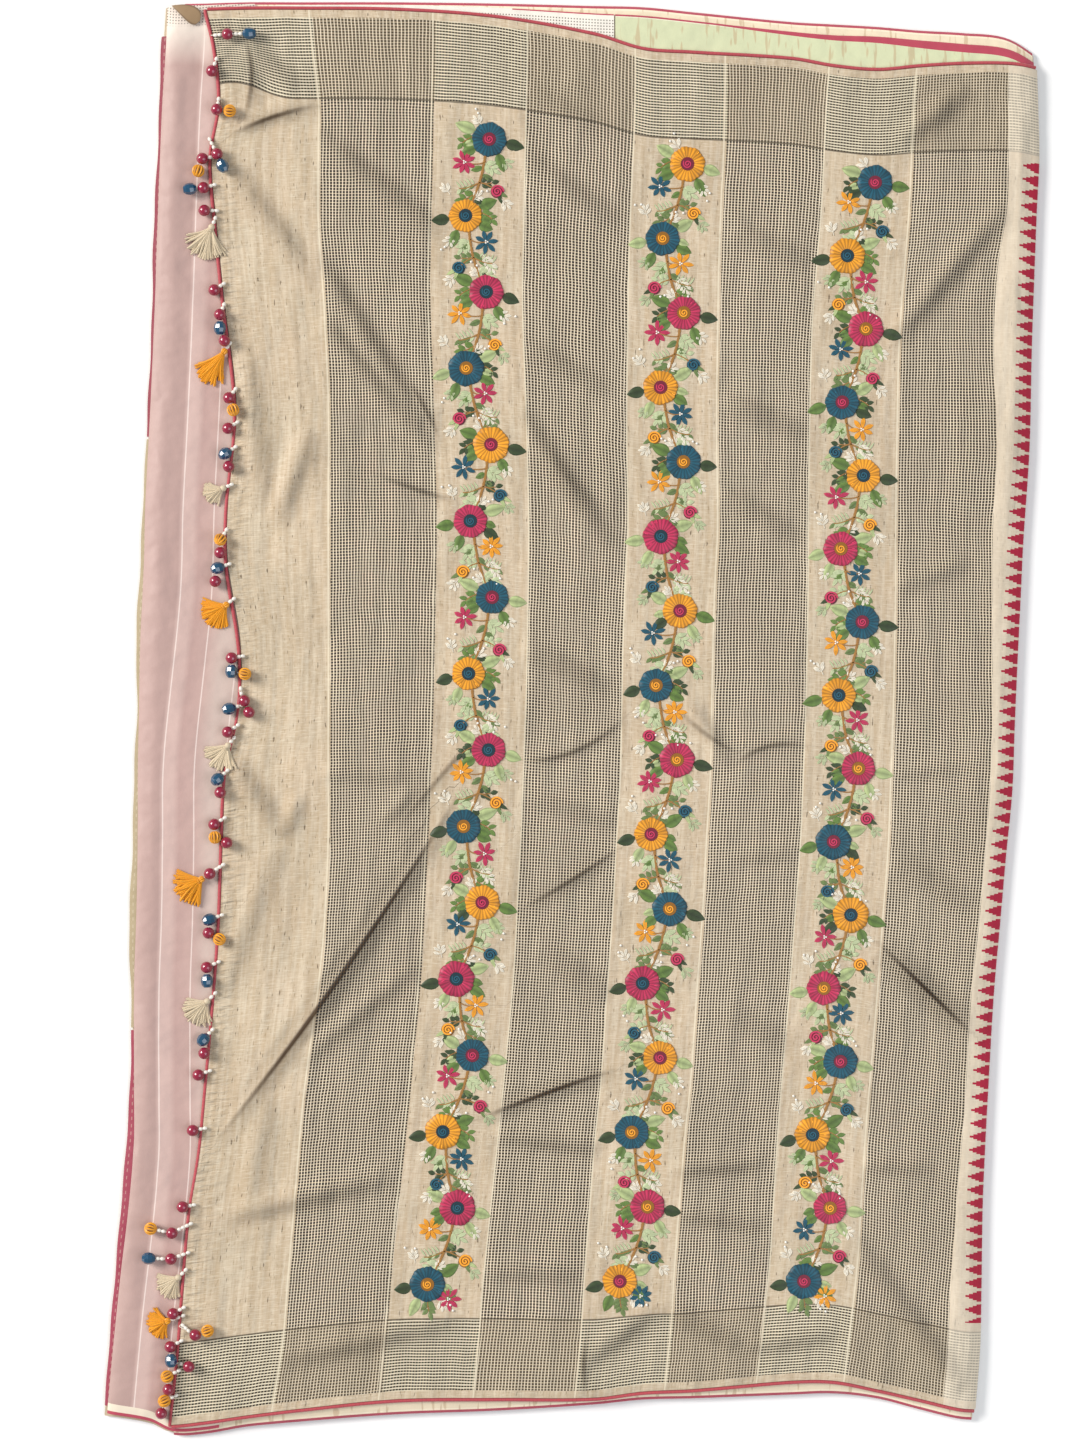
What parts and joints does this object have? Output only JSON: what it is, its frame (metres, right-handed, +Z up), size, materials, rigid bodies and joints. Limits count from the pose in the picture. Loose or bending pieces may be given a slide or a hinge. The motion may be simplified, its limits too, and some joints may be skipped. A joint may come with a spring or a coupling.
{
  "type": "folded saree",
  "caption": "A folded silk saree laid flat: checked end piece with embroidered flower vines on top, dusty pink and mint stretches under it, crimson edges and a fringe of bead drops.",
  "frame": {"origin": "centre of the footprint, on the plane that the folded cloth rests on", "axes": "+Z up; +Y along the folded saree's long side from its lower to its upper selvedge; +X from the beaded free end to the fold"},
  "size_m": [0.7586, 1.1632, 0.0247],
  "materials": {
    "check_silk": "matt handwoven silk in a small cream and dark check",
    "pink_silk": "soft plain silk with a slight sheen",
    "mint_silk": "soft plain silk with a slight sheen",
    "cream_silk": "soft plain silk, matt",
    "crimson_silk": "closely woven silk, slight sheen",
    "taupe_silk": "plain slubby silk, matt",
    "glass_beads": "glossy glass beads strung on thread",
    "tassel_thread": "loose silk floss"
  },
  "bodies": {
    "root": {"folded_layers": "cream_silk", "crimson_fold_upper": "crimson_silk", "taupe_fold_middle": "taupe_silk", "crimson_fold_lower": "crimson_silk", "cream_top_ply": "cream_silk", "cream_bottom_ply": "cream_silk", "pink_stretch": "pink_silk", "check_stretch": "check_silk", "mint_stretch": "mint_silk", "turned_corner": "taupe_silk", "end_piece": "check_silk", "edging_free_end": "crimson_silk", "edging_upper_selvedge": "crimson_silk", "edging_lower_selvedge": "crimson_silk", "drop_01": "glass_beads", "drop_02": "glass_beads", "drop_03": "glass_beads", "drop_04": "glass_beads", "drop_05": "glass_beads", "drop_06": "glass_beads", "drop_07": "glass_beads", "drop_08": "tassel_thread", "drop_09": "glass_beads", "drop_10": "glass_beads", "drop_11": "tassel_thread", "drop_12": "glass_beads", "drop_13": "glass_beads", "drop_14": "glass_beads", "drop_15": "tassel_thread", "drop_16": "glass_beads", "drop_17": "glass_beads", "drop_18": "tassel_thread", "drop_19": "glass_beads", "drop_20": "glass_beads", "drop_21": "glass_beads", "drop_22": "glass_beads", "drop_23": "tassel_thread", "drop_24": "glass_beads", "drop_25": "glass_beads", "drop_26": "tassel_thread", "drop_27": "glass_beads", "drop_28": "glass_beads", "drop_29": "tassel_thread", "drop_30": "glass_beads", "drop_31": "glass_beads", "drop_32": "glass_beads", "drop_33": "glass_beads", "drop_34": "glass_beads", "drop_35": "glass_beads", "drop_36": "tassel_thread", "drop_37": "glass_beads", "drop_38": "tassel_thread", "drop_39": "glass_beads", "drop_40": "glass_beads", "drop_41": "glass_beads", "drop_42": "glass_beads", "drop_43": "glass_beads"}
  },
  "joints": []
}
